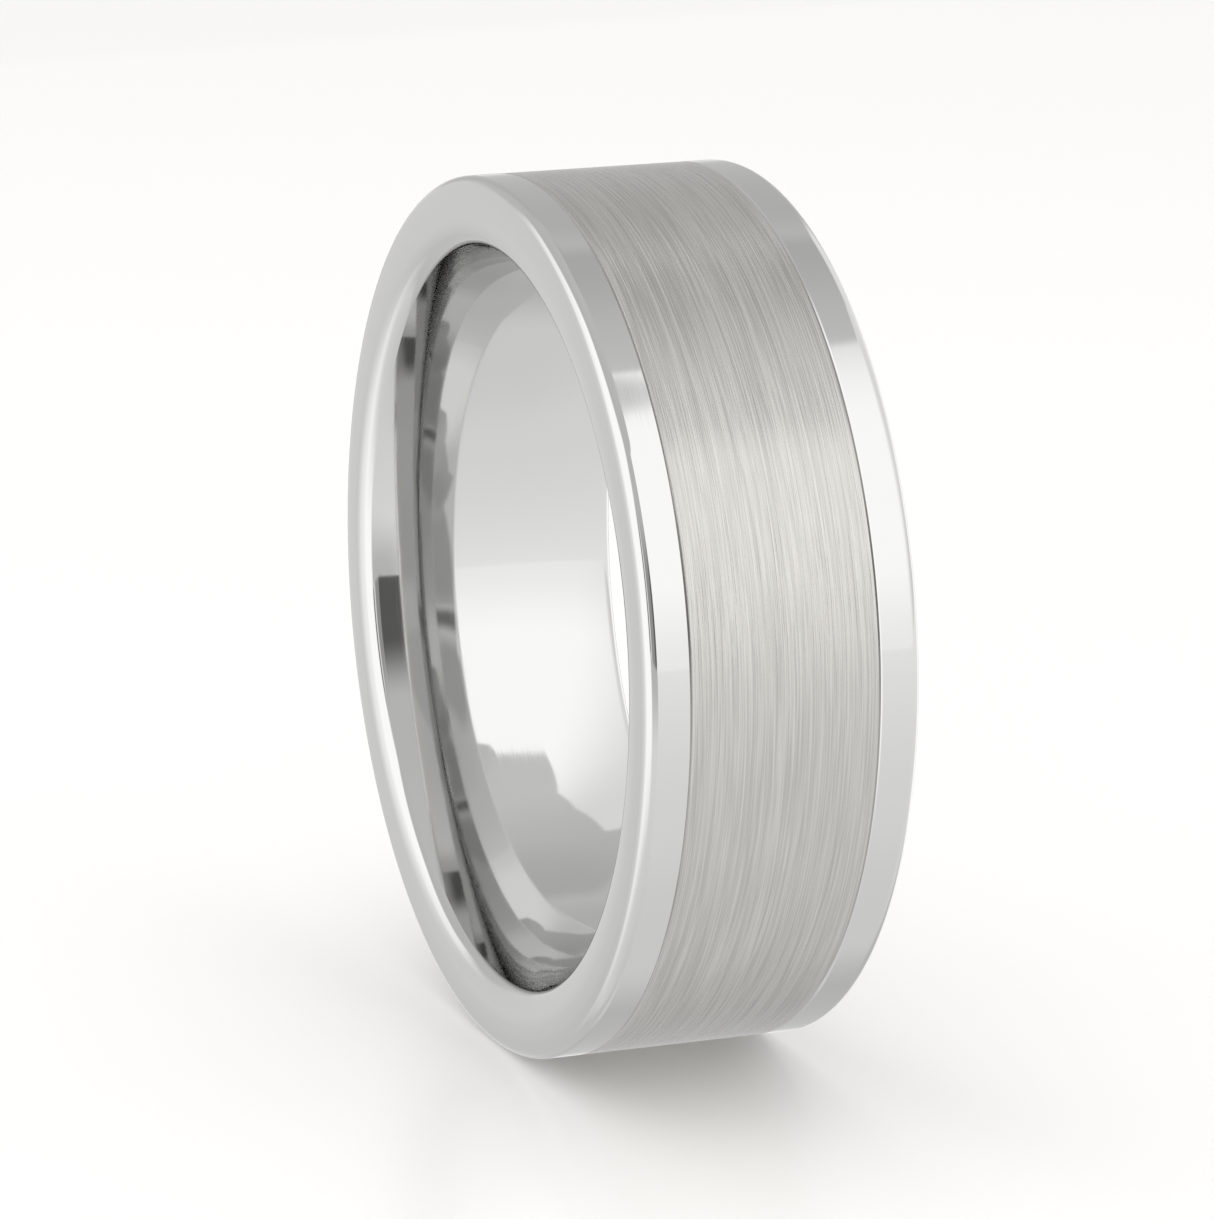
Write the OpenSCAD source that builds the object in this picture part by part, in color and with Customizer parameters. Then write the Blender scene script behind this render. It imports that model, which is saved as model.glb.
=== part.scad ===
// Flat pipe-cut wedding band, 8 mm wide, with a satin centre between two mirror-polished edges.
// The ring stands on its rim: its axis is +Y, +Z is up and the origin is the centre of the bore.
// Every piece is a turned ring, so each section is drawn once as [radius, height along the axis]
// and revolved. The front half faces -Y and the back half faces +Y.

/* [Ring] */
// Bore diameter at its narrowest, which sets the ring size
finger_d = 20.6; // [15:0.1:23]
// Width of the whole band along its axis
band_width = 8; // [7:0.5:9]
// Wall thickness from the narrowest bore to the outer surface
wall = 2.3; // [2.1:0.1:3]

/* [Polished edge rings] */
// Width of each polished edge ring along the axis
rail_width = 1.25; // [1.1:0.05:1.8]
// Radius that rounds the outer edge of each side face
outer_round = 0.32; // [0.15:0.01:0.45]
// Radius that rounds the edge between side face and bore
inner_round = 0.45; // [0.15:0.05:0.6]
// Width of the truly flat strip in the middle of each side face
face_land = 0.2; // [0.1:0.05:0.4]
// Radius of the slight crown on either side of that strip
crown_radius = 3.5; // [2.5:0.5:12]

/* [Comfort-fit bore] */
// Length of the straight cylindrical land in the middle of the bore
land_length = 1.5; // [1:0.1:3]
// Radius of the arc that opens the bore towards each side face
flare_radius = 12.2; // [10:0.1:16]

/* [Joints between the pieces] */
// Height of the edge break on each side of the two joints that show outside
edge_break = 0.05; // [0.03:0.01:0.08]
// Thickness of the bonding layer under the satin band
bond = 0.06; // [0.04:0.01:0.1]
// Length of the tongue that centres each edge ring on the liner
tongue_length = 0.55; // [0.3:0.05:0.7]
// Radial thickness of that tongue
tongue_wall = 0.45; // [0.3:0.05:0.6]

/* [Hidden] */
$fn = 180;

bore_r = finger_d / 2;
outer_r = bore_r + wall;
half_width = band_width / 2;
half_land = land_length / 2;
joint_h = half_width - rail_width;          // height of both joint planes above the mid-plane
liner_r = outer_r - wall * 0.5;             // outside of the liner
band_inner_r = liner_r + bond;              // inside of the satin band
tongue_r = liner_r - 0.15;                  // outside of the tongue
face_mid_r = (bore_r + outer_r) / 2 + 0.35; // middle of the side face's flat strip
flare_steps = 12;
corner_steps = 8;
crown_steps = 4;

// Centres of the large arcs: the bore's flare and the two sides of the face's crown
flare_centre = [bore_r + flare_radius, half_land];
crown_drop = half_width - crown_radius;
inner_crown = [face_mid_r - face_land / 2, crown_drop];
outer_crown = [face_mid_r + face_land / 2, crown_drop];

// The point at distance ra from a and rb from b, on the left of the way from a to b
function meet(a, ra, b, rb) =
    let (d = norm(b - a), u = (b - a) / d, along = (ra * ra - rb * rb + d * d) / (2 * d))
        a + along * u + sqrt(ra * ra - along * along) * [-u[1], u[0]];

// Direction from one point to another, in degrees
function heading(from, to) = atan2(to[1] - from[1], to[0] - from[0]);

// Centres of the two roundings, each tangent to the arcs that it joins
inner_corner = meet(inner_crown, crown_radius - inner_round,
    flare_centre, flare_radius - inner_round);
outer_corner = [
    outer_r - outer_round,
    crown_drop + sqrt(pow(crown_radius - outer_round, 2)
        - pow(outer_r - outer_round - outer_crown[0], 2))
];

// Directions at which the arcs meet each other and the joint plane
flare_at_joint = 180 - asin((joint_h - half_land) / flare_radius);
flare_end = heading(flare_centre, inner_corner);
crown_start = heading(inner_crown, inner_corner);
crown_end = heading(outer_crown, outer_corner);

// Points of an arc from one direction to another, in degrees
function arc(centre, radius, from, to, steps) = [
    for (i = [0:steps])
        let (a = from + (to - from) * i / steps) centre + radius * [cos(a), sin(a)]
];

// A stretch of the bore's flare
function flare(from, to) = arc(flare_centre, flare_radius, from, to, flare_steps);

// Turns a section about the ring's axis
module turned() {
    rotate([-90, 0, 0]) rotate_extrude() children();
}

// Edge ring: bore flare, inner rounding, crowned side face, outer rounding, rim and joint face,
// with a groove in the joint face for the liner's tongue
module rail() {
    turned() polygon(concat(
        flare(flare_at_joint, flare_end),
        arc(inner_corner, inner_round, flare_end, crown_start, corner_steps),
        arc(inner_crown, crown_radius, crown_start, 90, crown_steps),
        arc(outer_crown, crown_radius, 90, crown_end, crown_steps),
        arc(outer_corner, outer_round, crown_end, 0, corner_steps),
        [
            [outer_r, joint_h + edge_break],
            [outer_r - edge_break, joint_h],
            [tongue_r, joint_h],
            [tongue_r, joint_h + tongue_length],
            [tongue_r - tongue_wall, joint_h + tongue_length],
            [tongue_r - tongue_wall, joint_h]
        ]
    ));
}

module front_rail() {
    color([0.86, 0.86, 0.87]) mirror([0, 1, 0]) rail();
}

module back_rail() {
    color([0.86, 0.86, 0.87]) rail();
}

// One half of the liner's section, from the mid-plane to the joint plane and its tongue
function liner_half() = concat(
    flare(180, flare_at_joint),
    [
        [tongue_r - tongue_wall, joint_h],
        [tongue_r - tongue_wall, joint_h + tongue_length],
        [tongue_r, joint_h + tongue_length],
        [tongue_r, joint_h],
        [liner_r, joint_h]
    ]
);

// Inner sleeve with the domed bore
module comfort_liner() {
    upper = liner_half();
    lower = [for (i = [len(upper) - 1:-1:0]) [upper[i][0], -upper[i][1]]];
    color([0.8, 0.8, 0.81]) turned() polygon(concat(upper, lower));
}

// Satin sleeve that shows between the two edge rings
module brushed_band() {
    color([0.7, 0.69, 0.68]) turned() polygon([
        [band_inner_r, -joint_h],
        [outer_r - edge_break, -joint_h],
        [outer_r, -joint_h + edge_break],
        [outer_r, joint_h - edge_break],
        [outer_r - edge_break, joint_h],
        [band_inner_r, joint_h]
    ]);
}

// Thin layer that fixes the satin sleeve to the liner
module bond_layer() {
    color([0.55, 0.52, 0.45]) turned() polygon([
        [liner_r, -joint_h],
        [band_inner_r, -joint_h],
        [band_inner_r, joint_h],
        [liner_r, joint_h]
    ]);
}

front_rail();
back_rail();
comfort_liner();
brushed_band();
bond_layer();
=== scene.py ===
import math

import bmesh
import bpy
import numpy as np
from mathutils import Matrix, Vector


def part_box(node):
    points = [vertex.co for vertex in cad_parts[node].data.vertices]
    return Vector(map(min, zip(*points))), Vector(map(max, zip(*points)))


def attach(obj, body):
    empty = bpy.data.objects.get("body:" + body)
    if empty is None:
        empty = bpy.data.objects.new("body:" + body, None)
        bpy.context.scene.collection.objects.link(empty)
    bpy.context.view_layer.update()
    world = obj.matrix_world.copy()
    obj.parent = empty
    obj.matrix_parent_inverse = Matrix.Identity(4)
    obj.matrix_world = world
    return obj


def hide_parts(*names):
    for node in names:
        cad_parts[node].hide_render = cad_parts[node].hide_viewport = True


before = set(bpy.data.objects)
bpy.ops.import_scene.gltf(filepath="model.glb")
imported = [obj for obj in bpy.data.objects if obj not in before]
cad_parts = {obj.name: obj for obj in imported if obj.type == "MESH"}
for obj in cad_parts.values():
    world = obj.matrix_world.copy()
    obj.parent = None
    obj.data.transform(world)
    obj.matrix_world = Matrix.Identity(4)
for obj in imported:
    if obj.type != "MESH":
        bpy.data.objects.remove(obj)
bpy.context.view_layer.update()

MM = 0.001

# Driving dimensions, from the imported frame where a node's box gives them
OUTER_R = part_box("brushed_band")[1][0]
HALF_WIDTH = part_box("back_rail")[1][1]
JOINT_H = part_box("brushed_band")[1][1]
LINER_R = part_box("comfort_liner")[1][0]
TONGUE_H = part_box("comfort_liner")[1][1]
BAND_INNER_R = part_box("bond_layer")[1][0]

# Sizes of the sections that no box gives, as the CAD has them
BORE_R = 10.3 * MM
HALF_LAND = 0.75 * MM  # half the straight stretch of the bore
FLARE_R = 12.2 * MM  # radius of the bore's domed flare, in section
OUTER_ROUND = 0.32 * MM
INNER_ROUND = 0.45 * MM
FACE_LAND = 0.2 * MM  # width of the flat strip on the side face
FACE_MID_R = (BORE_R + OUTER_R) / 2 + 0.35 * MM
CROWN_R = 3.5 * MM  # crown of the side face on both sides of the flat strip
EDGE_BREAK = 0.05 * MM
TONGUE_R = LINER_R - 0.15 * MM
TONGUE_WALL = 0.45 * MM

SEGMENTS = 512
METAL = 0.64  # share of the light that the hard white metal returns


# ---------------------------------------------------------------- sections
# A section is a closed outline in [radius, height], built from runs. Each run is a list of
# (radius, height, normal radius, normal height), so that mirror-polished faces get true normals.

def arc(centre, radius, start, stop, steps):
    """Run along an arc between two directions in degrees; its material is on the centre's side."""
    run = []
    for i in range(steps + 1):
        a = math.radians(start + (stop - start) * i / steps)
        ca, sa = math.cos(a), math.sin(a)
        run.append((centre[0] + radius * ca, centre[1] + radius * sa, ca, sa))
    return run


def line(*points):
    """Straight runs through [radius, height] points, with the material on their right."""
    runs = []
    for (r0, h0), (r1, h1) in zip(points, points[1:]):
        length = math.hypot(r1 - r0, h1 - h0)
        nr, nh = -(h1 - h0) / length, (r1 - r0) / length
        runs.append([(r0, h0, nr, nh), (r1, h1, nr, nh)])
    return runs


def heading(start, end):
    return math.degrees(math.atan2(end[1] - start[1], end[0] - start[0]))


def meet(a, ra, b, rb):
    """The point at distance ra from a and rb from b, on the left of the way from a to b."""
    d = math.hypot(b[0] - a[0], b[1] - a[1])
    ur, uh = (b[0] - a[0]) / d, (b[1] - a[1]) / d
    along = (ra**2 - rb**2 + d**2) / (2 * d)
    across = math.sqrt(ra**2 - along**2)
    return (a[0] + along * ur - across * uh, a[1] + along * uh + across * ur)


FLARE_CENTRE = (BORE_R + FLARE_R, HALF_LAND)
CROWN_H = HALF_WIDTH - CROWN_R
INNER_CROWN = (FACE_MID_R - FACE_LAND / 2, CROWN_H)
OUTER_CROWN = (FACE_MID_R + FACE_LAND / 2, CROWN_H)
INNER_CORNER = meet(INNER_CROWN, CROWN_R - INNER_ROUND, FLARE_CENTRE, FLARE_R - INNER_ROUND)
OUTER_CORNER_R = OUTER_R - OUTER_ROUND
OUTER_CORNER = (
    OUTER_CORNER_R,
    CROWN_H + math.sqrt((CROWN_R - OUTER_ROUND) ** 2 - (OUTER_CORNER_R - OUTER_CROWN[0]) ** 2),
)
FLARE_AT_JOINT = 180 - math.degrees(math.asin((JOINT_H - HALF_LAND) / FLARE_R))
FLARE_END = heading(FLARE_CENTRE, INNER_CORNER)
BORE_AT_JOINT = FLARE_CENTRE[0] + FLARE_R * math.cos(math.radians(FLARE_AT_JOINT))


def mirrored(runs):
    """The same runs seen in the mid-plane, in reversed order."""
    return [[(r, -h, nr, -nh) for r, h, nr, nh in reversed(run)] for run in reversed(runs)]


def rail_section():
    """Edge ring: bore flare, inner rounding, crowned side face, outer rounding, rim, joint."""
    crown_start = heading(INNER_CROWN, INNER_CORNER)
    crown_end = heading(OUTER_CROWN, OUTER_CORNER)
    runs = [
        arc(FLARE_CENTRE, FLARE_R, FLARE_AT_JOINT, FLARE_END, 10),
        arc(INNER_CORNER, INNER_ROUND, FLARE_END, crown_start, 12),
        arc(INNER_CROWN, CROWN_R, crown_start, 90, 6),
        arc(OUTER_CROWN, CROWN_R, 90, crown_end, 6),
        arc(OUTER_CORNER, OUTER_ROUND, crown_end, 0, 14),
    ]
    runs += line(
        (OUTER_R, OUTER_CORNER[1]),
        (OUTER_R, JOINT_H + EDGE_BREAK),
        (OUTER_R - EDGE_BREAK, JOINT_H),
        (TONGUE_R, JOINT_H),
        (TONGUE_R, TONGUE_H),
        (TONGUE_R - TONGUE_WALL, TONGUE_H),
        (TONGUE_R - TONGUE_WALL, JOINT_H),
        (BORE_AT_JOINT, JOINT_H),
    )
    return runs


def liner_section():
    """Inner sleeve: straight land and flare of the bore, a tongue at each end, plain outside."""
    half = [arc(FLARE_CENTRE, FLARE_R, 180, FLARE_AT_JOINT, 24)]
    half += line(
        (BORE_AT_JOINT, JOINT_H),
        (TONGUE_R - TONGUE_WALL, JOINT_H),
        (TONGUE_R - TONGUE_WALL, TONGUE_H),
        (TONGUE_R, TONGUE_H),
        (TONGUE_R, JOINT_H),
        (LINER_R, JOINT_H),
    )
    return (
        line((BORE_R, -HALF_LAND), (BORE_R, HALF_LAND))
        + half
        + line((LINER_R, JOINT_H), (LINER_R, -JOINT_H))
        + mirrored(half)
    )


def band_section():
    return line(
        (BAND_INNER_R, -JOINT_H),
        (BAND_INNER_R, JOINT_H),
        (OUTER_R - EDGE_BREAK, JOINT_H),
        (OUTER_R, JOINT_H - EDGE_BREAK),
        (OUTER_R, -JOINT_H + EDGE_BREAK),
        (OUTER_R - EDGE_BREAK, -JOINT_H),
        (BAND_INNER_R, -JOINT_H),
    )


def bond_section():
    return line(
        (LINER_R, -JOINT_H),
        (LINER_R, JOINT_H),
        (BAND_INNER_R, JOINT_H),
        (BAND_INNER_R, -JOINT_H),
        (LINER_R, -JOINT_H),
    )


def turned(name, runs):
    """A closed section turned about the +Y axis, with the section's own normals."""
    edges = [(a, b) for run in runs for a, b in zip(run, run[1:])]
    count = len(edges)
    angles = 2 * np.pi * np.arange(SEGMENTS) / SEGMENTS
    ca, sa = np.cos(angles)[:, None], np.sin(angles)[:, None]
    r = np.array([a[0] for a, b in edges])[None, :]
    h = np.array([a[1] for a, b in edges])[None, :]
    verts = np.stack([r * ca, np.broadcast_to(h, (SEGMENTS, count)), r * sa], axis=-1)

    here = np.arange(SEGMENTS)[:, None]
    there = (here + 1) % SEGMENTS
    low = np.arange(count)[None, :]
    high = (low + 1) % count
    corners = [(here, low), (there, low), (there, high), (here, high)]
    faces = np.stack([i * count + j for i, j in corners], axis=-1).reshape(-1, 4)

    first = np.array([a[2:] for a, b in edges])
    last = np.array([b[2:] for a, b in edges])
    normals = []
    for (i, j), (nr, nh) in zip(corners, (first.T, first.T, last.T, last.T)):
        spin = angles[i]
        normals.append(np.stack(
            [nr * np.cos(spin), np.broadcast_to(nh, (SEGMENTS, count)), nr * np.sin(spin)],
            axis=-1))
    normals = np.stack(normals, axis=2).reshape(-1, 3)

    mesh = bpy.data.meshes.new(name)
    mesh.from_pydata(verts.reshape(-1, 3).tolist(), [], faces.tolist())
    mesh.polygons.foreach_set("use_smooth", [True] * len(mesh.polygons))
    mesh.normals_split_custom_set(normals.tolist())
    mesh.update()
    piece = bpy.data.objects.new(name, mesh)
    bpy.context.scene.collection.objects.link(piece)
    return piece


# ---------------------------------------------------------------- node helpers

class Nodes:
    """Short names for the node tree of one material or of the world."""

    def __init__(self, tree):
        self.tree = tree

    def node(self, kind, **settings):
        node = self.tree.nodes.new(kind)
        for key, value in settings.items():
            setattr(node, key, value)
        return node

    def put(self, socket, value):
        if isinstance(value, bpy.types.NodeSocket):
            self.tree.links.new(value, socket)
        else:
            socket.default_value = value

    def math(self, operation, *values):
        node = self.node("ShaderNodeMath", operation=operation)
        for socket, value in zip(node.inputs, values):
            self.put(socket, value)
        return node.outputs[0]

    def fade(self, value, low, high, out_low=0.0, out_high=1.0, kind="SMOOTHSTEP"):
        """Goes from out_low to out_high while the value goes from low to high."""
        node = self.node("ShaderNodeMapRange", interpolation_type=kind)
        for socket, number in zip(node.inputs, (value, low, high, out_low, out_high)):
            self.put(socket, number)
        return node.outputs["Result"]

    def mix(self, factor, a, b):
        node = self.node("ShaderNodeMix", data_type="FLOAT")
        self.put(node.inputs["Factor"], factor)
        self.put(node.inputs["A"], a)
        self.put(node.inputs["B"], b)
        return node.outputs["Result"]

    def colour_mix(self, factor, a, b):
        node = self.node("ShaderNodeMix", data_type="RGBA")
        self.put(node.inputs[0], factor)
        self.put(node.inputs[6], a)
        self.put(node.inputs[7], b)
        return node.outputs[2]

    def noise(self, coords, stretch, detail, seed=0.0, rough=0.5):
        """Noise whose stretch is its number of cells per metre along each axis."""
        mapping = self.node("ShaderNodeMapping")
        mapping.inputs["Scale"].default_value = stretch
        mapping.inputs["Location"].default_value = (seed, seed, seed)
        self.put(mapping.inputs["Vector"], coords)
        node = self.node("ShaderNodeTexNoise")
        node.inputs["Scale"].default_value = 1.0
        node.inputs["Detail"].default_value = detail
        node.inputs["Roughness"].default_value = rough
        self.put(node.inputs["Vector"], mapping.outputs["Vector"])
        return node.outputs["Fac"]

    def bump(self, height, distance, strength=1.0, below=None):
        """Normal of a relief as deep as the distance, over another relief if one is given."""
        node = self.node("ShaderNodeBump")
        node.inputs["Strength"].default_value = strength
        node.inputs["Distance"].default_value = distance
        self.put(node.inputs["Height"], height)
        if below is not None:
            self.put(node.inputs["Normal"], below)
        return node.outputs["Normal"]


def new_material(name):
    material = bpy.data.materials.new(name)
    material.use_nodes = True
    n = Nodes(material.node_tree)
    return material, n, material.node_tree.nodes["Principled BSDF"]


# ---------------------------------------------------------------- materials

def polished(name, colour, ripple, waviness):
    """Mirror-polished metal with faint buffing lines, a slow waviness and finer ripples."""
    material, n, shader = new_material(name)
    coords = n.node("ShaderNodeTexCoord").outputs["Object"]
    shader.inputs["Metallic"].default_value = 1.0
    shader.inputs["Base Color"].default_value = (*colour, 1.0)
    lines = n.noise(coords, (700, 30000, 700), 3.0)
    n.put(shader.inputs["Roughness"], n.fade(lines, 0.35, 0.75, 0.04, 0.08))
    slow = n.noise(coords, (220, 330, 220), 1.0, seed=3.0)
    normal = n.bump(slow, waviness)
    quick = n.noise(coords, (400, 11000, 400), 2.0, seed=7.0)
    n.put(shader.inputs["Normal"], n.bump(quick, ripple, below=normal))
    return material


def satin(name, light, dark):
    """Metal brushed round the ring: long fine grooves that run along the circumference."""
    material, n, shader = new_material(name)
    coords = n.node("ShaderNodeTexCoord").outputs["Object"]
    shader.inputs["Metallic"].default_value = 1.0
    shader.inputs["Anisotropic"].default_value = 0.7
    shader.inputs["Anisotropic Rotation"].default_value = 0.25
    tangent = n.node("ShaderNodeTangent", direction_type="RADIAL", axis="Y")
    n.put(shader.inputs["Tangent"], tangent.outputs["Tangent"])
    hair = n.noise(coords, (170, 12000, 170), 1.0, seed=1.0)
    grain = n.noise(coords, (330, 26000, 330), 2.0, seed=2.0, rough=0.6)
    streak = n.math("ADD", n.math("MULTIPLY", hair, 0.4), n.math("MULTIPLY", grain, 0.6))
    n.put(shader.inputs["Base Color"], n.colour_mix(
        n.fade(streak, 0.34, 0.66), (*dark, 1.0), (*light, 1.0)))
    n.put(shader.inputs["Roughness"], n.fade(grain, 0.3, 0.7, 0.22, 0.30))
    n.put(shader.inputs["Normal"], n.bump(streak, 0.00002, 0.9))
    return material


def resin(name):
    material, n, shader = new_material(name)
    coords = n.node("ShaderNodeTexCoord").outputs["Object"]
    cloud = n.noise(coords, (900, 900, 900), 3.0)
    n.put(shader.inputs["Base Color"], n.colour_mix(
        cloud, (0.42, 0.39, 0.32, 1), (0.52, 0.49, 0.42, 1)))
    shader.inputs["Roughness"].default_value = 0.5
    return material


# ---------------------------------------------------------------- the ring

rail_metal = polished("polished_rail", (METAL, 0.996 * METAL, 0.975 * METAL), 0.0, 0.0000015)
bore_metal = polished("polished_bore", (METAL, METAL, 0.99 * METAL), 0.0000002, 0.0000014)
satin_metal = satin("satin_band", (0.625, 0.614, 0.584), (0.465, 0.456, 0.434))
bond_resin = resin("bond")

rail_runs = rail_section()
PIECES = [
    ("front_edge_ring", mirrored(rail_runs), "front_rail", rail_metal, "polished_rail"),
    ("back_edge_ring", rail_runs, "back_rail", rail_metal, "polished_rail"),
    ("domed_liner", liner_section(), "comfort_liner", bore_metal, "polished_bore"),
    ("satin_centre", band_section(), "brushed_band", satin_metal, "satin_band"),
    ("bond_sleeve", bond_section(), "bond_layer", bond_resin, "bond"),
]
for piece_name, section, node_name, material, slot_name in PIECES:
    piece = turned(piece_name, section)
    piece.data.materials.append(material)
    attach(piece, "root")
    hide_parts(node_name)

# ---------------------------------------------------------------- camera

RIGHT_AZIMUTH = math.radians(68.95)  # direction of the view's right-hand side
VIEW_PITCH = math.radians(13.67)  # how far the view looks down
VIEW_DISTANCE = 14.833 * OUTER_R
LEFT_OFFSET = 0.0253 * OUTER_R
DOWN_OFFSET = 0.0056 * OUTER_R
RIGHT = Vector((math.cos(RIGHT_AZIMUTH), math.sin(RIGHT_AZIMUTH), 0))
LEVEL = Vector((-math.sin(RIGHT_AZIMUTH), math.cos(RIGHT_AZIMUTH), 0))
FORWARD = LEVEL * math.cos(VIEW_PITCH) - Vector((0, 0, math.sin(VIEW_PITCH)))
UP = RIGHT.cross(FORWARD)

camera = bpy.data.objects.new("camera", bpy.data.cameras.new("camera"))
camera.data.lens = 192.5
camera.data.sensor_width = 36
camera.data.clip_start = 0.005
camera.data.clip_end = 50
camera.location = -FORWARD * VIEW_DISTANCE - RIGHT * LEFT_OFFSET - UP * DOWN_OFFSET
camera.rotation_euler = FORWARD.to_track_quat("-Z", "Y").to_euler()
bpy.context.scene.collection.objects.link(camera)
bpy.context.scene.camera = camera

# ---------------------------------------------------------------- stage and light

FLOOR_RADIUS = 6

floor_mesh = bpy.data.meshes.new("floor")
disc = bmesh.new()
bmesh.ops.create_circle(disc, cap_ends=True, radius=FLOOR_RADIUS, segments=128)
disc.to_mesh(floor_mesh)
disc.free()
floor = bpy.data.objects.new("floor", floor_mesh)
floor.location = (0, 0, -OUTER_R)
bpy.context.scene.collection.objects.link(floor)
material, n, shader = new_material("floor")
shader.inputs["Base Color"].default_value = (0.86, 0.85, 0.832, 1)
shader.inputs["Roughness"].default_value = 0.22
floor.data.materials.append(material)
floor.visible_glossy = False

world = bpy.data.worlds.new("studio")
bpy.context.scene.world = world
world.use_nodes = True
n = Nodes(world.node_tree)
direction = n.node("ShaderNodeSeparateXYZ")
n.put(direction.inputs[0], n.node("ShaderNodeTexCoord").outputs["Generated"])
azimuth = n.math("DEGREES", n.math("ARCTAN2", direction.outputs["Y"], direction.outputs["X"]))
height = n.math("DEGREES", n.math("ARCSINE", direction.outputs["Z"]))


def seen(grey):
    """Light level that the polished metal returns as this grey of 0 to 255."""
    return ((grey / 255 + 0.055) / 1.055) ** 2.4 / METAL


def panel(light, middle, half, low, high, value, soft=4.0, soft_low=3.0, soft_high=3.0, rise=0.0):
    """Lays a soft-edged panel over the light so far, with all angles in degrees.

    It spans half an angle to each side of its middle azimuth, and from low to high above the
    horizon. The rise lifts its high edge, and may change along it.
    """
    off = n.math("ABSOLUTE", n.math("WRAP", n.math("SUBTRACT", azimuth, middle), 180.0, -180.0))
    across = n.fade(off, half - soft, half + soft, 1.0, 0.0)
    above = n.fade(height, low - soft_low, low + soft_low)
    level = n.math("SUBTRACT", height, rise)
    below = n.fade(level, high - soft_high, high + soft_high, 1.0, 0.0)
    return n.mix(n.math("MULTIPLY", across, n.math("MULTIPLY", above, below)), light, value)


# Base: a pale table below the horizon and a dimmer room above it
table = n.fade(height, -85.0, -25.0, seen(194), seen(209), kind="LINEAR")
light = n.mix(n.fade(height, -4.0, -1.5), table, n.fade(height, 45.0, 80.0, seen(178), seen(182)))
# The table is lighter before the key panel, a painted sheen of the key, and greyer under the card
# and at the back, painted shade of the card and of the ring's own shadow
nearness = n.math("POWER", n.fade(height, -50.0, -3.0, kind="LINEAR"), 2.0)
near = n.mix(nearness, seen(207), seen(224))
light = panel(light, 47, 50, -50, -1, near, soft=6, soft_low=8, soft_high=0.7)
light = panel(light, -32, 31, -13, -2, seen(178), soft=5, soft_low=9, soft_high=0.5)
light = panel(light, 145, 40, -66, -24, seen(173), soft=15, soft_low=8, soft_high=6)
# Grey at the far left, greyer at its foot
light = panel(light, -165, 25, -35, 12, seen(194), soft=8, soft_low=10, soft_high=8)
light = panel(light, -160, 22, -90, -17, seen(183), soft=8, soft_low=1, soft_high=4)
# The wall behind the ring, with a shade on the table below it
light = panel(light, 162, 24, 2, 48, seen(169), soft=6, soft_low=3, soft_high=6)
light = panel(light, 158, 20, -16, -6, seen(118), soft=6, soft_low=4, soft_high=3)
# Bright table and window at the back right, and the dim room above them
light = panel(light, 118, 19, -28, 10, 1.4, soft=4, soft_low=4, soft_high=8)
light = panel(light, 118, 19, 10, 53, 1.08, soft=4, soft_low=8, soft_high=3)
room = n.mix(n.fade(azimuth, 85.0, 145.0), n.fade(azimuth, 50.0, 95.0, seen(188), seen(180)),
             seen(165))
light = panel(light, 95, 63, 54, 74, room, soft=10, soft_low=3, soft_high=4)
# Large key panel at the front right, its top edge highest in the middle
top = n.math("SUBTRACT", n.fade(azimuth, 30.0, 57.0, 52.3, 65.4, kind="LINEAR"),
             n.fade(azimuth, 76.0, 110.0, 0.0, 6.5, kind="LINEAR"))
key = n.math("MULTIPLY", n.fade(azimuth, 35.0, 85.0, seen(248), seen(212)),
             n.fade(height, -3.0, 20.0, 0.86, 1.0))
light = panel(light, 49, 51, -2.5, 0, key, soft=1.2, soft_low=0.3, soft_high=0.6, rise=top)
# Tall panel at the left, its top edge lower at the back
tall = n.fade(azimuth, -155.0, -112.0, seen(224), seen(250))
drop = n.fade(azimuth, -142.0, -105.0, -14.0, 0.0)
light = panel(light, -104, 43, -28, 42, tall, soft=7, soft_low=17, soft_high=4, rise=drop)
# Dark card beside the camera, with two narrow strips along its left edge
card = n.fade(azimuth, -20.0, -12.0, seen(140), seen(84))
light = panel(light, -58, 4, -1.5, 25, seen(115), soft=1.5, soft_low=0.5, soft_high=7)
light = panel(light, -49, 4, -1.5, 25, seen(212), soft=1.5, soft_low=0.5, soft_high=7)
light = panel(light, -23, 21, -1.5, 27, card, soft=1, soft_low=0.5, soft_high=10)
# The panels shape reflections; matt surfaces get an even soft light
even = n.node("ShaderNodeLightPath").outputs["Is Diffuse Ray"]
background = world.node_tree.nodes["Background"]
n.put(background.inputs["Color"], n.mix(even, light, n.fade(height, 5.0, 65.0, 2.05, 0.9)))

soft_top = bpy.data.objects.new("soft_top", bpy.data.lights.new("soft_top", "AREA"))
soft_top.data.size = 0.6
soft_top.data.energy = 0.3
soft_top.location = (-0.05, -0.05, 0.35)
soft_top.visible_glossy = False
soft_top.rotation_euler = (-soft_top.location).to_track_quat("-Z", "Y").to_euler()
bpy.context.scene.collection.objects.link(soft_top)

bpy.context.scene.view_settings.view_transform = "Standard"
# Enough mirror bounces for the reflections of the bore in itself
bpy.context.scene.cycles.glossy_bounces = 12
